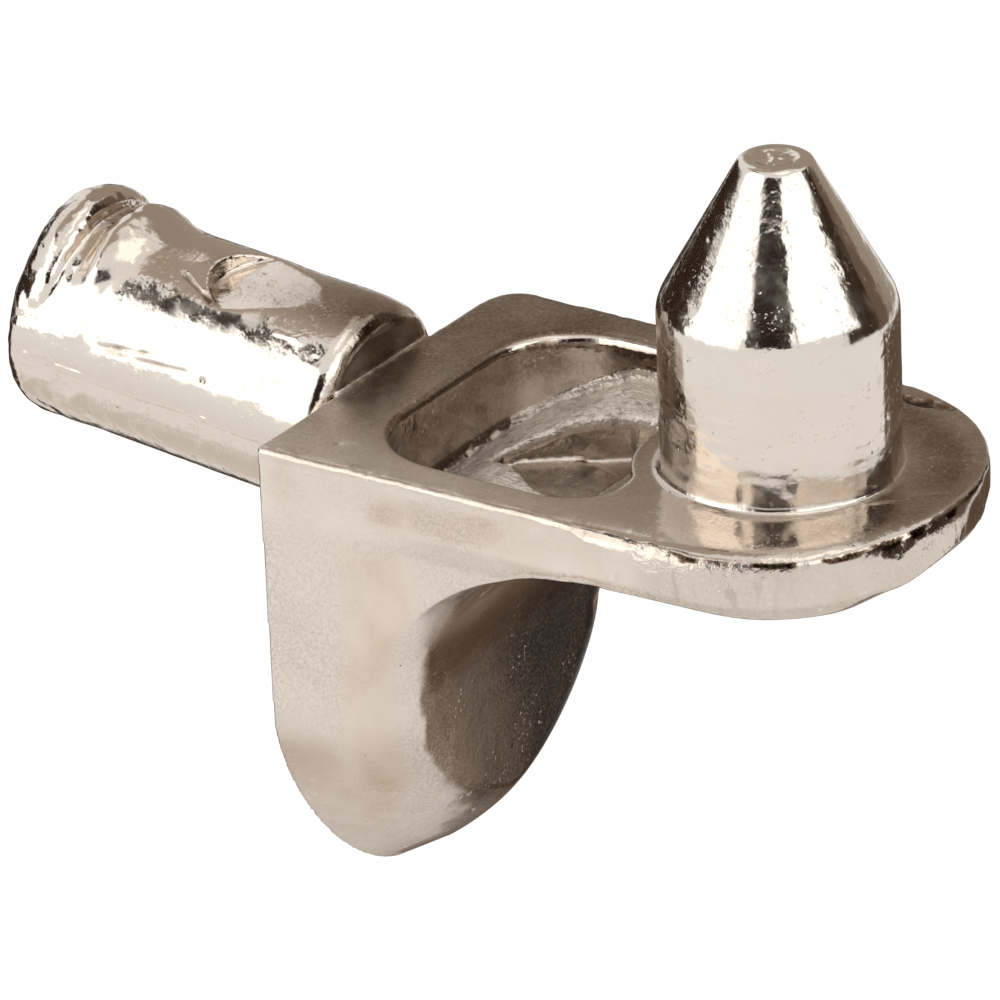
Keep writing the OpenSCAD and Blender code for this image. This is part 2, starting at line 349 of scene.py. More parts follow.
@dataclass
class Casting:
    """The whole casting: its skin, the marks of its making and its finish."""

    solid: Object
    skin: Skin = field(init=False)
    voxel: float = 0.05
    most_triangles: int = 194000
    last_ease: float = 0.3
    shelf_cut: float = 0.58
    nose_far_push: float = 0.16
    nose_near_push: float = 0.12
    nose_near_drop: float = 0.16
    nose_tip_lift: float = 0.46
    nose_far_kept: float = 0.85
    edge_kept: float = 0.97
    leg_inset: float = 0.02
    lump_height: float = 0.05
    grit_height: float = 0.025
    step_share: float = 0.35
    seam_turn: float = 94.0
    seam_wander: float = 2.0
    seam_height: float = 0.02
    low_dowel_calm: float = 0.6
    pits: int = 120
    pit_seed: int = 5
    pit_r: tuple[float, float] = (0.05, 0.1)
    pit_depth: float = 0.22
    form: CastForm = CastForm()
    passes: Passes = Passes()
    waves: Waves = Waves()
    lines: tuple[Line, ...] = (
        Line((12.3, -0.9, 1.11), (13.7, 0.6, 1.11), 0.08, 0.03),
        Line((9.45, -0.25, 7.88), (10.2, 0.3, 7.88), 0.07, 0.04),
        Line((9.5, 0.3, 7.88), (10.1, -0.35, 7.88), 0.06, 0.03),
        Line((9.85, -0.4, 7.88), (9.9, 0.4, 7.88), 0.05, 0.03),
        Line((10.4, 4.0, 1.11), (11.5, 4.02, 1.11), 0.20, -0.09),
        Line((-5.73, -2.27, 1.2), (-4.4, -2.2, 1.26), 0.06, -0.025),
        Line((-5.73, -2.27, 1.2), (-5.42, -2.29, 1.1), 0.07, -0.03),
        Line((-5.42, -2.29, 1.1), (-3.4, -2.24, 1.06), 0.05, -0.02),
        Line((-3.1, -2.27, 0.99), (-3.04, -2.27, 0.92), 0.09, -0.06),
        Line((-4.43, -0.89, 2.63), (-4.0, -1.08, 2.5), 0.09, -0.06),
        Line((-4.0, -1.08, 2.5), (-3.4, -1.31, 2.31), 0.10, -0.06),
        Line((-1.7, -1.45, 2.05), (-1.0, -1.42, 1.99), 0.12, 0.05),
    )

    def shell(self, name: str) -> Object:
        """Copies the solid's surface as one closed shell in millimetres.

        Args:
            name: Name of the new object.

        Returns:
            The new object.
        """
        mesh = self.solid.data.copy()
        mesh.name = name
        work = bmesh.new()
        work.from_mesh(mesh)
        bmesh.ops.remove_doubles(work, verts=work.verts, dist=WELD_GAP)
        bmesh.ops.scale(work, verts=work.verts, vec=Vector((1, 1, 1)) / MM)
        work.to_mesh(mesh)
        work.free()
        mesh.materials.clear()
        return add_object(name, mesh)

    def build(self) -> Object:
        """Builds the skin, raises its marks and thins it.

        Returns:
            The finished piece, in metres.
        """
        piece = self.shell("casting")
        guide = self.shell("guide")
        remesh = piece.modifiers.new("skin", "REMESH")
        remesh.mode = "VOXEL"
        remesh.voxel_size = self.voxel
        hug = piece.modifiers.new("hug", "SHRINKWRAP")
        hug.target = guide
        hug.wrap_method = "NEAREST_SURFACEPOINT"
        bake_modifiers(piece)
        bpy.data.meshes.remove(guide.data)
        self.skin = Skin(piece)
        self.sink_front_shelf()
        self.draft_nose()
        self.soften_edges()
        self.roughen_ledges()
        self.raise_waves()
        self.raise_seams()
        self.sink_pits()
        self.skin.relax(self.last_ease * (1.0 - self.near_edge(self.skin.points())), 1)
        thin = piece.modifiers.new("thin", "DECIMATE")
        thin.ratio = min(1.0, self.most_triangles / count_triangles(piece))
        bake_modifiers(piece)
        Zones(self.skin, self.form, self.lines).store()
        piece.data.transform(Matrix.Scale(MM, 4))
        piece.data.shade_smooth()
        piece.data.update()
        return piece

    def sink_front_shelf(self) -> None:
        """Carves the shelf beside the stud down towards the well, as the mould's core did."""
        form = self.form
        points = self.skin.points()
        x, y, z = points.T
        away = form.from_stud(points)
        reach = rise(x, 5.3, 5.6) * rise(away, form.ring_r + 0.03, form.ring_r + 0.25)
        reach *= fall(np.abs(y), form.well_half_w - 0.1, form.well_half_w + 0.1)
        reach *= band(z, form.floor_z - 0.05, form.ledge_z + 0.4, 0.05)
        inner = rise(self.skin.normals()[:, 2], -0.3, -0.1)
        points[:, 2] = z - self.shelf_cut * inner * reach * (z - form.floor_z)
        self.skin.place(points)
        low = band(x, 5.1, 6.8, 0.2) * fall(np.abs(y), 2.2, 2.5) * (z < form.ledge_z + 0.2) * inner
        self.skin.relax(HALF_WAY * low * (z > form.floor_z - 0.1), self.passes.shelf)

    def draft_nose(self) -> None:
        """Gives the nose its fuller far side, its deeper near side and its lifted tip."""
        form = self.form
        points = self.skin.points()
        x, y, z = points.T
        turn = np.degrees(np.arctan2(y, x - form.stud_x))
        rim = rise(form.from_stud(points), 2.3, 4.15) * rise(x, 7.5, 9.5) * (z < form.seat_z + 0.2)
        far = rise(turn, 15.0, 70.0) * fall(turn, 90.0, 115.0)
        near = rise(turn, -92.0, -62.0) * fall(turn, -45.0, -26.0)
        tip = rise(turn, -36.0, 2.0) * fall(turn, 30.0, 115.0)
        push = rim * (self.nose_far_push * far + self.nose_near_push * near)
        depth = np.clip((form.seat_z - z) / (form.seat_z - form.arm_low), 0.0, 1.0)
        points[:, 0] += push * np.cos(np.radians(turn))
        points[:, 1] += push * np.sin(np.radians(turn))
        points[:, 2] += rim * depth * (self.nose_tip_lift * tip - self.nose_near_drop * near)
        self.skin.place(points)

    def near_edge(self, points: Array) -> Array:
        """Finds the crisp edges along the sides of the arm's top.

        Args:
            points: Points of the skin.

        Returns:
            The mask, from 0 to 1.
        """
        x, y, z = points.T
        edge = band(z, self.form.seat_z - 0.3, self.form.seat_z, 0.1)
        return edge * fall(x, 7.0, 9.0) * rise(np.abs(y), 4.0, 4.3)

    def soften_edges(self) -> None:
        """Rounds the edges as the mould and the tumbling left them."""
        form, passes = self.form, self.passes
        points = self.skin.points()
        x, y, z = points.T
        side = np.abs(y)
        away = form.from_stud(points)
        along, from_axis, _ = form.along_dowel(points)
        edges = 1.0 - self.edge_kept * self.near_edge(points)
        cove = band(z, -7.0, form.arm_low - 0.1, 0.4) * rise(x, 0.7, 1.3)
        well = form.in_pocket(points, 0.3) * fall(z, 0.1, 0.4) * (away > 3.2)
        far_rim = band(z, form.seat_z - 0.6, form.seat_z + 0.1, 0.1) * band(x, 1.4, 7.4, 0.3)
        far_rim *= band(y, 2.2, 3.95, 0.3)
        nose = rise(x, 6.6, 9.4) * band(z, form.arm_low - 0.2, form.seat_z + 0.05, 0.05)
        nose *= rise(away, form.stud_r + 0.5, form.stud_r + 1.2)
        nose *= 1.0 - self.nose_far_kept * rise(y, 0.0, 2.2) * rise(z, 0.0, 0.5)
        root = band(x, -1.3, -0.35, 0.2) * rise(y, -0.6, 0.4) * rise(z, 0.0, 0.5)
        barbs = band(along, 4.7, 6.7, 0.3) * (from_axis < 3.0) * (x < -3.0)
        join = rise(side, 4.0, 4.2) * band(x, 0.4, 8.0, 0.4) * band(z, -0.45, 0.25, 0.3)
        for share, times in (
            (edges, passes.edges),
            (np.minimum(cove + well, 1.0), passes.cove_and_well),
            (far_rim, passes.far_rim),
            (nose, passes.nose),
            (root, passes.root),
            (barbs, passes.barbs),
        ):
            self.skin.relax(HALF_WAY * share, times)
        flank = rise(side, 4.2, 4.4) * band(x, 0.8, 2.6, 0.5)
        self.skin.move(self.leg_inset * flank * fall(z, -0.1, 0.1) * rise(z, -4.0, -0.5))
        self.skin.relax(HALF_WAY * join, passes.join)

    def roughen_ledges(self) -> None:
        """Breaks up the pocket's ledges, which the mould's core left rough."""
        form = self.form
        points = self.skin.points()
        ledge = form.in_pocket(points) * fall(form.off_ledge(points), 0.1, 0.22)
        step = form.in_pocket(points)
        step *= band(points[:, 2], form.floor_z + 0.03, form.floor_z + 0.22, 0.05)
        height = self.lump_height * Noise.LUMPS.at(points) + self.grit_height * Noise.GRIT.at(points)
        self.skin.move((ledge + self.step_share * step) * height)

    def raise_waves(self) -> None:
        """Raises the wavy surface that the mould and the plating left."""
        form, waves = self.form, self.waves
        points = self.skin.points()
        x, y, z = points.T
        lumps = {kind.name: Noise[kind.name.upper()].at(points) for kind in fields(Wave)}
        along, away, angle = form.along_dowel(points)
        dowel = fall(x, -0.3, 0.0) * (away < 3.4)
        ribs = dowel * rise(along, 5.9, 6.4) * rise(away, 1.5, 1.9)
        dowel *= 1.0 - self.low_dowel_calm * rise(angle, 76.0, 92.0)
        stud = fall(form.from_stud(points), 2.5, 2.7) * rise(z, 1.15, 1.4)
        nose = rise(x, 8.0, 9.5) * (1.0 - stud) * fall(z, form.seat_z - 0.2, form.seat_z)
        joint = fall(np.abs(x), 0.05, 0.22) * band(y, -2.2, 2.0, 0.3)
        joint *= band(z, form.seat_z - 0.15, form.seat_z + 0.12, 0.05)
        edge = band(z, form.seat_z - 0.25, form.seat_z, 0.05) * rise(np.abs(y), 4.35, 4.55) * (x > 0.1)
        offset = waves.plain.height(lumps) + waves.joint_height * joint
        for mask, wave in (
            (dowel, waves.dowel),
            (ribs, waves.ribs),
            (stud, waves.stud),
            (stud * fall(z, 2.2, 4.0), waves.stud_low),
            (stud * fall(z, 1.6, 2.3), waves.stud_foot),
            (nose * rise(z, -0.1, 0.4), waves.nose),
            (joint, waves.joint),
            (edge, waves.edge),
        ):
            offset += mask * wave.height(lumps)
        self.skin.move(offset)

    def raise_seams(self) -> None:
        """Raises the mould's parting seam on the dowel and the scratches and ridges."""
        points = self.skin.points()
        along, away, angle = self.form.along_dowel(points)
        astray = angle - self.seam_turn + self.seam_wander * Noise.SEAM.at(points)
        seam = fall(np.abs(astray), 0.6, 2.2) * (away < 3.0) * band(along, 0.4, 7.6, 0.4)
        self.skin.move(sum((line.raised(points) for line in self.lines), self.seam_height * seam))

    def sink_pits(self) -> None:
        """Sinks small pits at random places."""
        chance = np.random.default_rng(self.pit_seed)
        points = self.skin.points()
        centres = points[chance.choice(len(points), self.pits, replace=False)]
        widths = chance.uniform(*self.pit_r, self.pits)
        tree = KDTree(len(points))
        for number, point in enumerate(points):
            tree.insert(point, number)
        tree.balance()
        offset = np.zeros(len(points))
        for centre, width in zip(centres, widths):
            for _, number, gap in tree.find_range(centre, width):
                sunk = self.pit_depth * width * (1.0 - (gap / width) ** 2)
                offset[number] = min(offset[number], -sunk)
        self.skin.move(offset)


@dataclass
class Zones:
    """Where the plate is satin, stained or gritty, and how far it is darkened to soot at 1 and black at
    2 by tarnish, dirt and painted shade.
    """

    skin: Skin
    form: CastForm
    lines: tuple[Line, ...]
    nose_grit: float = 0.4
    front_ragged: float = 0.06
    front_widened: float = 0.12
    plain_stain: float = 0.1
    arm_stain: float = 0.4
    stud_stain: float = 0.18
    dowel_stain: float = 0.5
    leg_stain: float = 0.9
    edge_stain: float = 1.3
    tip_tan_shade: float = 1.2
    front_satin: float = 0.16
    cove_gloss: float = 0.45
    foot_satin: float = 0.35
    wall_tone: float = 0.55
    wall_top_tone: float = 0.2
    near_wall_lit: float = 0.75
    corner_lit: float = 0.6
    front_wall_tone: float = 0.25
    deck_tone: float = 0.86
    deck_nose_lit: float = 0.3
    deck_from_y: float = -4.2
    deck_width: float = 4.6
    deck_bend: float = 0.8
    cove_tone: float = 1.05
    cove_far_tone: float = 0.95
    cove_high_lit: float = 1.05
    cove_high_far_tone: float = 0.45
    cove_roof_tone: float = 1.6
    root_tone: float = 0.12
    root_drawn_tone: float = 0.4
    nose_tone: float = 0.14
    tip_tone: float = 0.3
    dowel_side_tone: float = 0.13
    arm_low_tone: float = 0.2
    crown_tone: float = 0.75
    rim_tone: float = 0.9
    edge_dim_tone: float = 0.22
    edge_dim_spread: float = 0.25
    lip_reflection_tone: float = 1.9
    clouds: float = 0.12
    mottle: float = 0.10
    most_in_scratch: float = 1.8
    scratch_per_mm: float = 30.0
    most_tarnish_and_shade: float = 2.0

    def __post_init__(self) -> None:
        """Reads the skin and finds the parts of the casting on it."""
        form = self.form
        self.points = self.skin.points()
        self.x, self.y, self.z = self.points.T
        self.facing = self.skin.normals()
        self.sideways = np.abs(self.facing[:, 1])
        self.away = form.from_stud(self.points)
        self.along, _, self.angle = form.along_dowel(self.points)
        self.stud = fall(self.away, 2.6, 3.2) * rise(self.z, 1.0, 1.3)
        self.leg = fall(self.z, -0.8, -0.2) * rise(self.x, -0.1, 0.0)
        self.top = band(self.z, form.seat_z - 0.05, form.seat_z + 0.05, 0.05) * rise(self.x, -0.1, 0.1)
        self.top *= 1.0 - self.stud
        self.outer = rise(self.x, 8.6, 9.8) * rise(self.away, 3.7, 3.9)
        self.turned = band(self.facing[:, 2], 0.2, 0.94, 0.04)
        self.grit = self.find_grit()
        self.front = self.find_front()

    def find_grit(self) -> Array:
        """Mask of the pocket's rough ledge and the nose's rough far flank.

        Returns:
            The mask, from 0 to 1.
        """
        ledge = self.form.in_pocket(self.points) * fall(self.form.off_ledge(self.points), 0.15, 0.3)
        nose = rise(self.x, 8.0, 9.6) * rise(self.away, 3.6, 3.9) * (self.facing[:, 2] < 0.7)
        return np.maximum(ledge, self.nose_grit * nose * fall(self.x, 11.0, 13.0))

    def find_front(self) -> Array:
        """Mask of the leg's front, which the cove and the cut below it share.

        Returns:
            The mask, from 0 to 1.
        """
        across = self.sideways + self.front_ragged * Noise.RAGGED.at(self.points)
        across -= self.front_widened * rise(-self.z, 5.0, 6.0)
        front = fall(across, 0.15, 0.29) * rise(self.facing[:, 0], 0.1, 0.4) * rise(self.x, 0.2, 0.5)
        return front * fall(self.z, self.form.arm_low - 0.2, self.form.arm_low)

    def stain_and_shade(self) -> Array:
        """How tan the plate is, from stains and from painted shade at the leg's tip.

        Returns:
            The stain and painted shade, from 0 to a little over 1.
        """
        x, z = self.x, self.z
        side = rise(self.sideways, 0.4, 0.7) * rise(x, -0.1, 0.0)
        side *= np.maximum(rise(np.abs(self.y), 4.2, 4.4), z < -1.5)
        on_leg = self.leg_stain * band(x, 2.1, 3.5, 0.5) * band(z, -6.4, -0.9, 0.6)
        on_arm = self.edge_stain * band(x, 3.2, 5.4, 0.7) * band(z, 0.15, 0.6, 0.3)
        stain_and_shade = self.plain_stain + self.arm_stain * (1.0 - self.stud) * rise(x, 0.0, 0.5)
        stain_and_shade += self.stud_stain * self.stud * fall(z, 3.6, 3.8)
        stain_and_shade += self.dowel_stain * (x < 0.0) * fall(self.angle, 20.0, 45.0)
        # Towards the leg's tip the tan is painted shade where the tip turns down.
        return stain_and_shade + side * (on_leg + on_arm + self.tip_tan_shade * rise(-z, 4.6, 6.6))

    def satin(self) -> Array:
        """How satin the plate is.

        Returns:
            The mask, from 0 to 1.
        """
        top = self.front_satin + (1.0 - self.front_satin) * fall(self.x, 5.0, 9.0)
        foot = self.stud * fall(self.z, 1.7, 2.4)
        satin = self.leg + self.top * top - self.cove_gloss * self.front + self.foot_satin * foot
        return np.clip(satin, 0.0, 1.0)

    def walls(self) -> Array:
        """Painted shade on the pocket's walls and floor, less on the near wall and at a corner on the
        far side, where painted light lifts it.

        Returns:
            The painted shade, from 0 to 2.
        """
        pocket = self.form.in_pocket(self.points, 0.2) * (1.0 - self.grit)
        walls = pocket * (self.wall_tone + self.wall_top_tone * rise(self.z, -0.1, 0.4))
        walls *= 1.0 - self.near_wall_lit * rise(-self.facing[:, 1], 0.2, 0.5) * fall(self.z, 0.05, 0.25)
        walls *= 1.0 - self.corner_lit * band(self.x, 2.75, 3.15, 0.5) * rise(self.y, 2.8, 3.3)
        return walls + self.front_wall_tone * pocket * rise(self.x, 3.8, 4.4) * rise(self.z, 0.2, 0.4)

    def deck(self) -> Array:
        """Brown stain and painted shade on the arm's top, both deepening towards the far side, with less
        painted shade by the nose.

        Returns:
            The stain and painted shade, from 0 to 2.
        """
        far = np.clip((self.y - self.deck_from_y) / self.deck_width, 0.0, 1.0) ** self.deck_bend
        depth = self.deck_tone - self.deck_nose_lit * rise(self.away, 3.6, 4.1) * (self.x > 10.0)
        return self.top * rise(self.facing[:, 2], 0.6, 0.9) * far * depth

    def cove(self) -> Array:
        """Painted shade on the leg's front, which deepens towards the far side and under the arm.

        Returns:
            The painted shade, from 0 to 2.
        """
        y, z = self.y, self.z
        sweep = rise(y, -2.6, 1.6)
        shade = self.cove_tone + self.cove_far_tone * sweep
        shade += rise(z, -3.6, -2.4) * (self.cove_high_far_tone * sweep - self.cove_high_lit)
        shade += rise(z, -1.8, -1.0) * rise(y, -3.2, -2.2) * (self.cove_roof_tone - shade)
        return self.front * shade

    def side_shade(self) -> Array:
        """Painted shade on the nose, the leg's tip, the dowel's lower side and the arm's lower edge.

        Returns:
            The painted shade, from 0 to 2.
        """
        side_shade = self.nose_tone * self.outer + self.tip_tone * self.leg * rise(-self.z, 4.6, 6.4)
        side_shade += self.dowel_side_tone * rise(self.angle, 80.0, 95.0) * (self.x < -0.1)
        low = band(self.z, -0.5, -0.15, 0.15) * rise(self.x, 2.5, 4.5) * (self.sideways > 0.3)
        return side_shade + self.arm_low_tone * low

    def dowel_darkening(self) -> Array:
        """Darkens the wall face round the dowel in streaks and the dowel's top near the wall.

        Returns:
            The darkening, from 0 to 2.
        """
        root = rise(self.facing[:, 0], 0.5, 0.8) * band(self.x, -0.6, 0.05, 0.1)
        root *= self.root_tone + self.root_drawn_tone * Noise.DRAWN.at(self.points)
        crown = fall(np.abs(self.angle), 14.0, 34.0) * (self.x < 0.0) * fall(self.along, 0.4, 3.4)
        return np.maximum(root, self.crown_tone * crown)

    def edges(self) -> Array:
        """Painted shade that dims the highlights on the pocket's rim and, in broken patches, along the
        arm's upper edges.

        Returns:
            The painted shade, from 0 to 2.
        """
        form, y, z = self.form, self.y, self.z
        rim = self.turned * band(z, form.seat_z - 0.3, form.seat_z + 0.02, 0.03)
        rim *= (np.abs(y) < 4.1) * band(self.x, 1.3, 7.7, 0.1)
        rim *= np.maximum(fall(y, 1.5, 2.2), self.away < form.ring_r + 0.45)
        # Broken painted shade over the highlight on the arm's upper edges.
        dimmed_edge = self.edge_dim_tone + self.edge_dim_spread * Noise.EDGE_DIM.at(self.points)
        dimmed_edge *= self.turned * rise(np.abs(y), 4.3, 4.5)
        dimmed_edge *= band(z, form.seat_z - 0.2, form.seat_z + 0.05, 0.03)
        return np.maximum(self.rim_tone * rim, dimmed_edge)

    def tarnish_and_shade(self) -> Array:
        """How dark the plate is painted: tarnish and dirt in its scratches, painted shade on the cove,
        pocket, deck, lower sides and edges, and a black lip round the nose that is a painted dark
        reflection.

        Returns:
            The tarnish and painted shade, from 0 to 2.
        """
        marks = (self.walls(), self.deck(), self.cove(), self.side_shade(), self.dowel_darkening(), self.edges())
        tarnish_and_shade = np.maximum.reduce(marks)
        tarnish_and_shade *= 1.0 + self.clouds * Noise.CLOUDS.at(self.points)
        tarnish_and_shade *= 1.0 + self.mottle * Noise.MOTTLE.at(self.points)
        for line in self.lines:
            if line.height < 0.0:
                depth = min(self.most_in_scratch, -self.scratch_per_mm * line.height)
                tarnish_and_shade += depth * line.raised(self.points) / line.height
        # Painted dark reflection: a black jagged band along the nose's upper round.
        lip_reflection = self.lip_reflection_tone * self.outer * band(self.facing[:, 2], 0.34, 0.56, 0.05)
        lip_reflection *= rise(Noise.JAGS.at(self.points), -0.45, -0.1)
        return np.clip(np.maximum(tarnish_and_shade, lip_reflection), 0.0, self.most_tarnish_and_shade)

    def store(self) -> None:
        """Stores the four masks on the mesh for the material to read."""
        # The fourth mask carries tarnish and dirt together with painted shade and painted reflections.
        values = np.stack([self.satin(), self.stain_and_shade(), self.grit, self.tarnish_and_shade()], axis=1)
        store = self.skin.piece.data.attributes.new("finish_and_shade", "FLOAT_COLOR", "POINT")
        store.data.foreach_set("color", values.astype(np.float32).ravel())


def add_object(name: str, data: bpy.types.ID) -> Object:
    """Adds an object to the scene.

    Args:
        name: Its name.
        data: Its mesh, lamp or camera.

    Returns:
        The new object.
    """
    thing = bpy.data.objects.new(name, data)
    bpy.context.scene.collection.objects.link(thing)
    return thing


def count_triangles(piece: Object) -> int:
    """Number of triangles of a piece's mesh."""
    piece.data.calc_loop_triangles()
    return len(piece.data.loop_triangles)


def bake_modifiers(piece: Object) -> None:
    """Applies a piece's modifiers to its mesh.

    Args:
        piece: The piece, which keeps no modifier.
    """
    graph = bpy.context.evaluated_depsgraph_get()
    done = bpy.data.meshes.new_from_object(piece.evaluated_get(graph))
    old = piece.data
    name = old.name
    piece.modifiers.clear()
    piece.data = done
    bpy.data.meshes.remove(old)
    done.name = name


@dataclass
class Graph:
    """A shader node tree under construction."""

    tree: bpy.types.NodeTree

    def add(self, kind: str, feeds: dict[str | int, Source], output: str | int = 0,
            **settings: str) -> Socket:
        """Adds a node and feeds its inputs.

        Args:
            kind: The node's type.
            feeds: What each input takes, which is a socket or a constant.
            output: The output to return.
            settings: The node's own settings.

        Returns:
            The chosen output.
        """
        node = self.tree.nodes.new(kind)
        for label, value in settings.items():
            setattr(node, label, value)
        for label, source in feeds.items():
            self.feed(source, node.inputs[label])
        return node.outputs[output]

    def feed(self, source: Source, entry: Socket) -> None:
        """Links a socket to an input, or sets the input to a constant.

        Args:
            source: Socket or constant.
            entry: The input.
        """
        if isinstance(source, Socket):
            self.tree.links.new(source, entry)
        else:
            entry.default_value = source

    def times(self, first: Source, second: Source) -> Socket:
        """Adds a product and returns it."""
        return self.add("ShaderNodeMath", {0: first, 1: second}, operation="MULTIPLY")

    def plus(self, first: Source, second: Source) -> Socket:
        """Adds a sum and returns it."""
        return self.add("ShaderNodeMath", {0: first, 1: second}, operation="ADD")

    def less(self, value: Source, share: float = 1.0) -> Socket:
        """Adds 1 less a share of a value and returns it."""
        return self.plus(self.times(value, -share), 1.0)

    def blend(self, share: Source, first: Source, second: Colour) -> Socket:
        """Adds a mix of two colours and returns it."""
        return self.add("ShaderNodeMix", {0: share, 6: first, 7: (*second, 1.0)}, 2, data_type="RGBA")

    def noise(self, vector: Socket, scale: float, detail: float) -> Socket:
        """Adds a noise texture and returns its value."""
        return self.add("ShaderNodeTexNoise", {"Vector": vector, "Scale": scale, "Detail": detail})

    def ramp(self, value: Socket, low: float, high: float) -> Socket:
        """Adds an eased ramp between two values and returns its result."""
        feeds = {"Value": value, "From Min": low, "From Max": high}
        return self.add("ShaderNodeMapRange", feeds, interpolation_type="SMOOTHSTEP")


@dataclass(frozen=True)
class Patches:
    """A layer of soft patches: how fine it is, and the limits between which it fades in."""

    scale: float
    low: float
    high: float


@dataclass(frozen=True)
class Grain:
    """A layer of bumps: how fine it is, its detail, and its height in millimetres."""

    scale: float
    detail: float
    height: float


@dataclass(frozen=True)
class NickelFinish:
    """Bright nickel plate over a cast surface, with tarnish, dirt and painted shade darkening it in
    places.
    """

    plate: Colour = (0.72, 0.655, 0.585)
    tan: Colour = (0.60, 0.44, 0.33)
    grey: Colour = (0.44, 0.375, 0.325)
    dark: Colour = (0.16, 0.11, 0.08)
    soot_and_shade: Colour = (0.19, 0.13, 0.088)
    black: Colour = (0.014, 0.007, 0.003)
    polish: float = 0.12
    satin: float = 0.30
    upright: float = 0.25
    patch_detail: float = 4.0
    speckle: Patches = Patches(15.0, 0.3, 0.75)
    worn_specks: Patches = Patches(9.0, 0.60, 0.66)
    worn_places: Patches = Patches(1.1, 0.5, 0.62)
    tan_places: Patches = Patches(0.42, 0.46, 0.7)
    clusters: Patches = Patches(0.5, 0.45, 0.62)
    strokes: Patches = Patches(4.2, 0.52, 0.66)
    pin_places: Patches = Patches(1.3, 0.55, 0.6)
    haze: Patches = Patches(2.1, 0.4, 0.7)
    lively_places: Patches = Patches(0.9, 0.42, 0.62)
    glints: Patches = Patches(11.0, 0.6, 0.68)
    glint_places: Patches = Patches(1.6, 0.5, 0.6)
    grain: Grain = Grain(9.0, 3.0, 0.0032)
    ripple: Grain = Grain(3.6, 2.5, 0.005)
    sand: Grain = Grain(10.0, 3.0, 0.07)
    lively_ripple: float = 0.010
    glint_height: float = 0.004
    pin_scale: float = 2.6
    pin_size: float = 0.10
    pin_share: float = 0.8
    pin_depth: float = 0.02
    tan_base: float = 0.25
    tan_patch: float = 0.35
    tan_speckle: float = 0.2
    cluster_base: float = 0.3
    grey_stain: float = 0.3
    grey_satin: float = 0.7
    stroke_share: float = 1.2
    tarnish_and_shade_base: float = 0.85
    tarnish_and_shade_speckle: float = 0.3
    worn_share: float = 0.7
    grit_metal_loss: float = 0.45
    haze_rough: float = 0.07
    grit_rough: float = 0.12
    tarnish_and_shade_calm: float = 0.55

    def material(self) -> Material:
        """Builds the material.

        Returns:
            The new material.
        """
        material = bpy.data.materials.new("nickel_plate")
        material.use_nodes = True
        graph = Graph(material.node_tree)
        shader = graph.tree.nodes["Principled BSDF"]
        place = graph.add("ShaderNodeTexCoord", {}, "Object")
        grid, upright = (
            graph.add("ShaderNodeMapping", {"Vector": place, "Scale": (1 / MM, 1 / MM, height / MM)})
            for height in (1.0, self.upright)
        )
        zones = graph.tree.nodes.new("ShaderNodeAttribute")
        zones.attribute_name = "finish_and_shade"
        split = graph.tree.nodes.new("ShaderNodeSeparateColor")
        graph.feed(zones.outputs["Color"], split.inputs[0])
        satin, stain_and_shade, grit = split.outputs

        def patches(look: Patches, vector: Socket = grid) -> Socket:
            """Adds a layer of soft patches and returns its mask."""
            return graph.ramp(graph.noise(vector, look.scale, self.patch_detail), look.low, look.high)

        def bumps(look: Grain, vector: Socket, mask: Source) -> Socket:
            """Adds a layer of bumps under a mask and returns its height."""
            return graph.times(graph.noise(vector, look.scale, look.detail), mask)

        times, plus, less, blend = graph.times, graph.plus, graph.less, graph.blend
        speckle = patches(self.speckle)
        worn = times(patches(self.worn_specks), patches(self.worn_places))
        tan = times(patches(self.tan_places), plus(times(speckle, self.tan_speckle), self.tan_patch))
        grey = times(times(plus(patches(self.clusters), self.cluster_base), stain_and_shade), self.grey_stain)
        grey = plus(grey, times(times(less(stain_and_shade), satin), self.grey_satin))
        cells = graph.add("ShaderNodeTexVoronoi", {"Vector": grid, "Scale": self.pin_scale}, "Distance")
        holes = graph.ramp(cells, self.pin_size, 0.0)
        holes = times(times(holes, patches(self.pin_places)), self.pin_share)
        strokes = times(times(patches(self.strokes, upright), grit), self.stroke_share)
        # The mask's fourth value is tarnish and dirt together with painted shade and painted
        # reflections.
        tarnish_and_shade = plus(times(speckle, self.tarnish_and_shade_speckle), self.tarnish_and_shade_base)
        tarnish_and_shade = times(times(zones.outputs["Alpha"], tarnish_and_shade), less(worn, self.worn_share))

        # Stains, and painted shade at the leg's tip, tint the plate tan.
        colour = blend(times(plus(tan, self.tan_base), stain_and_shade), (*self.plate, 1.0), self.tan)
        colour = blend(times(speckle, grey), colour, self.grey)
        colour = blend(strokes, colour, self.grey)
        colour = blend(holes, colour, self.dark)
        # Tarnish, dirt and painted shade darken the plate to soot, and past 1 on towards black.
        colour = blend(tarnish_and_shade, colour, self.soot_and_shade)
        colour = blend(plus(tarnish_and_shade, -1.0), colour, self.black)
        graph.feed(colour, shader.inputs["Base Color"])
        graph.feed(less(grit, self.grit_metal_loss), shader.inputs["Metallic"])
        rough = plus(times(satin, self.satin - self.polish), self.polish)
        rough = plus(rough, times(patches(self.haze), self.haze_rough))
        graph.feed(plus(rough, times(grit, self.grit_rough)), shader.inputs["Roughness"])

        bright = less(satin)
        quiet = times(less(tarnish_and_shade, self.tarnish_and_shade_calm), satin)
        lively = plus(times(patches(self.lively_places), self.lively_ripple), self.ripple.height)
        glints = times(times(patches(self.glints), patches(self.glint_places)), bright)
        height = plus(times(bumps(self.grain, upright, quiet), self.grain.height),
                      times(holes, -self.pin_depth))
        height = plus(height, times(bumps(self.ripple, grid, bright), lively))
        height = plus(height, times(bumps(self.sand, grid, grit), self.sand.height))
        height = plus(height, times(glints, self.glint_height))
        normal = graph.add("ShaderNodeBump", {"Distance": MM, "Strength": 1.0, "Height": height})
        graph.feed(normal, shader.inputs["Normal"])
        return material


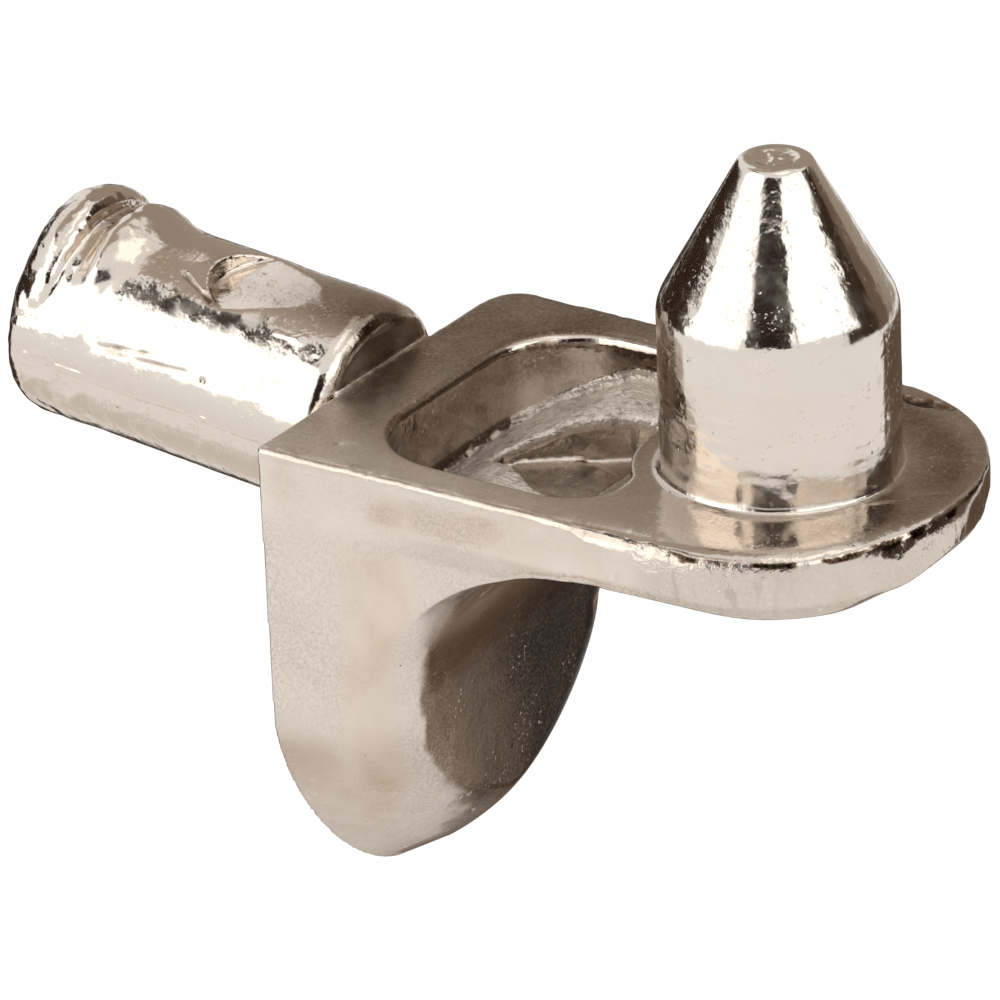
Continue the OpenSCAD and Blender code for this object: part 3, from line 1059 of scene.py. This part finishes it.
def bearing(turn: float, height: float, reach: float = 1.0) -> Place:
    """Finds the place that lies some way off in a direction.

    Args:
        turn: Angle round the part from its near side, in degrees.
        height: Angle above the level, in degrees.
        reach: Distance.

    Returns:
        The place.
    """
    turn, height = math.radians(turn), math.radians(height)
    flat = math.cos(height) * reach
    return math.sin(turn) * flat, -math.cos(turn) * flat, math.sin(height) * reach


@dataclass(frozen=True)
class Flag:
    """A card that the bright metal mirrors, as a patch of a wide sphere with its angles in degrees."""

    name: str
    turn: tuple[float, float]
    height: tuple[float, float]
    tone: Colour
    soft: float = 2.0
    reach: float = 0.3
    least_cells: int = 3

    def build(self) -> None:
        """Builds the card, which is seen in reflections only."""
        work = bmesh.new()
        wide, tall = self.turn[1] - self.turn[0], self.height[1] - self.height[0]
        columns, rows = (max(self.least_cells, round(span / self.soft)) for span in (wide, tall))
        bmesh.ops.create_grid(work, x_segments=columns, y_segments=rows, size=0.5)
        inside = [0.0 if vert.is_boundary else 1.0 for vert in work.verts]
        for vert in work.verts:
            turn = self.turn[0] + (vert.co.x + 0.5) * wide
            height = self.height[0] + (vert.co.y + 0.5) * tall
            vert.co = bearing(turn, height, self.reach)
        mesh = bpy.data.meshes.new(self.name)
        work.to_mesh(mesh)
        work.free()
        mesh.attributes.new("inside", "FLOAT", "POINT").data.foreach_set("value", inside)
        mesh.materials.append(self.material())
        card = add_object(self.name, mesh)
        card.visible_camera = False
        card.visible_diffuse = False
        card.visible_shadow = False

    def material(self) -> Material:
        """Builds the card's glow, which fades out at its edges.

        Returns:
            The new material.
        """
        material = bpy.data.materials.new(self.name)
        material.use_nodes = True
        graph = Graph(material.node_tree)
        graph.tree.nodes.clear()
        glow = graph.add("ShaderNodeEmission", {"Color": (*self.tone, 1.0)})
        fade = graph.add("ShaderNodeAttribute", {}, "Fac", attribute_name="inside")
        clear = graph.add("ShaderNodeBsdfTransparent", {})
        mix = graph.add("ShaderNodeMixShader", {0: fade, 1: clear, 2: glow})
        graph.feed(mix, graph.tree.nodes.new("ShaderNodeOutputMaterial").inputs["Surface"])
        material.cycles.emission_sampling = "NONE"
        return material


@dataclass(frozen=True)
class Lamp:
    """A soft box that faces the part: angles in degrees, lengths in metres."""

    name: str
    turn: float
    height: float
    wide: float
    tall: float
    reach: float
    glow: float

    def build(self) -> None:
        """Builds the lamp."""
        data = bpy.data.lights.new(self.name, "AREA")
        data.shape = "RECTANGLE"
        data.size = self.wide
        data.size_y = self.tall
        data.energy = self.glow * math.pi * self.wide * self.tall
        lamp = add_object(self.name, data)
        way = Vector(bearing(self.turn, self.height))
        turned = way.to_track_quat("Z", "Y").to_matrix().to_4x4()
        lamp.matrix_world = Matrix.Translation(way * self.reach) @ turned
        lamp.visible_camera = False


@dataclass(frozen=True)
class View:
    """The camera: angles in degrees, lengths in metres, lens and film in millimetres."""

    turn: float = 34.078
    height: float = 25.172
    roll: float = -1.924
    distance: float = 0.211156
    target: Place = (0.001941, 0.001325, -0.002106)
    lens: float = 359.73
    film: float = 36.0
    nearest: float = 0.01
    farthest: float = 20.0

    def build(self) -> None:
        """Sets the camera at its place."""
        back = Vector(bearing(self.turn, self.height))
        right = (-back).cross(Vector((0, 0, 1))).normalized()
        up = right.cross(-back)
        roll = math.radians(self.roll)
        side = right * math.cos(roll) + up * math.sin(roll)
        top = up * math.cos(roll) - right * math.sin(roll)
        data = bpy.data.cameras.new("camera")
        data.lens = self.lens
        data.sensor_width = self.film
        data.clip_start = self.nearest
        data.clip_end = self.farthest
        camera = add_object("camera", data)
        place = Vector(self.target) + back * self.distance
        turned = Matrix((side, top, back)).transposed().to_4x4()
        camera.matrix_world = Matrix.Translation(place) @ turned
        bpy.context.scene.camera = camera


@dataclass
class Studio:
    """Floor, world, lamp, cards and camera."""

    floor_z: float = -0.26
    floor_size: float = 6.0
    floor_tone: Colour = (0.6, 0.6, 0.6)
    floor_glow: float = 0.42
    view: View = View()
    lamp: Lamp = Lamp("left_lamp", -30, 22, 0.40, 0.3, 0.5, 1.2)
    flags: tuple[Flag, ...] = (
        Flag("camera_card", (4, 46), (3, 41), (0.025, 0.015, 0.01), 1.5),
        Flag("left_card", (-126, -58), (-9, 18), (0.035, 0.02, 0.012), 1.5),
        Flag("left_low_card", (-150, -80), (-46, -8), (0.06, 0.037, 0.024), 3.0),
        Flag("right_card", (96, 141), (-12, 13), (0.05, 0.032, 0.02)),
        Flag("right_back_card", (115, 139), (9, 36), (0.04, 0.026, 0.017)),
        Flag("right_far_card", (135, 158), (-14, 38), (0.17, 0.125, 0.095), 3.0),
        Flag("back_card", (152, 222), (-12, 60), (0.40, 0.34, 0.28), 5.0),
        Flag("top_card", (-165, -72), (46, 82), (0.50, 0.43, 0.365), 4.0),
        Flag("top_edge_card", (-80, -34), (51, 62), (0.035, 0.022, 0.014), 1.5),
        Flag("low_back_card", (145, 222), (-34, -14), (0.13, 0.087, 0.06), 5.0),
        Flag("low_dark_card", (140, 222), (-54, -31), (0.32, 0.225, 0.16), 4.0),
        Flag("low_floor_card", (140, 230), (-72, -51), (0.24, 0.17, 0.12), 5.0),
        Flag("under_left_card", (-170, -40), (-80, -44), (0.82, 0.76, 0.69), 8.0),
        Flag("left_box", (-57, -2), (-4, 50), (1.9, 1.9, 1.86), 1.5),
        Flag("right_box", (48, 114), (15, 44), (1.9, 1.9, 1.86), 1.5),
        Flag("far_box", (40, 145), (62, 80), (1.7, 1.7, 1.66)),
    )

    def build(self) -> None:
        """Builds the studio and sets the camera."""
        self.build_floor()
        self.build_world()
        for part in (*self.flags, self.lamp, self.view):
            part.build()

    def shown_ray(self, graph: Graph) -> Socket:
        """Adds nodes that give 1 on camera, glossy and transmission rays.

        Args:
            graph: The graph to add them to.

        Returns:
            The socket with that value.
        """
        path = graph.tree.nodes.new("ShaderNodeLightPath")
        total = path.outputs["Is Camera Ray"]
        for kind in ("Is Glossy Ray", "Is Transmission Ray"):
            feeds = {0: total, 1: path.outputs[kind]}
            total = graph.add("ShaderNodeMath", feeds, operation="MAXIMUM")
        return total

    def build_floor(self) -> None:
        """Builds the plain white floor."""
        work = bmesh.new()
        bmesh.ops.create_grid(work, x_segments=1, y_segments=1, size=self.floor_size / 2)
        bmesh.ops.translate(work, verts=work.verts, vec=(0, 0, self.floor_z))
        mesh = bpy.data.meshes.new("floor")
        work.to_mesh(mesh)
        work.free()
        material = bpy.data.materials.new("floor")
        material.use_nodes = True
        graph = Graph(material.node_tree)
        shader = graph.tree.nodes["Principled BSDF"]
        for label, value in (
            ("Base Color", (*self.floor_tone, 1.0)),
            ("Roughness", 1.0),
            ("Specular IOR Level", 0.0),
            ("Emission Color", WHITE),
            ("Emission Strength", graph.times(self.shown_ray(graph), self.floor_glow)),
        ):
            graph.feed(value, shader.inputs[label])
        mesh.materials.append(material)
        add_object("floor", mesh)

    def build_world(self) -> None:
        """Sets the plain white world."""
        world = bpy.data.worlds.new("studio")
        world.use_nodes = True
        back = world.node_tree.nodes["Background"]
        back.inputs["Color"].default_value = WHITE
        back.inputs["Strength"].default_value = 1.0
        bpy.context.scene.world = world
        bpy.context.scene.view_settings.view_transform = "Standard"


def main() -> None:
    """Dresses the part and sets the studio."""
    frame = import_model()
    Studio().build()
    casting = Casting(frame["nodes"][NODE]).build()
    casting.data.materials.append(NickelFinish().material())
    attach(casting, "root")
    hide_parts(NODE)
    LOG.info("casting: %d triangles", count_triangles(casting))


if __name__ == "__main__":
    logging.basicConfig(level=logging.INFO, format="%(name)s: %(message)s")
    main()
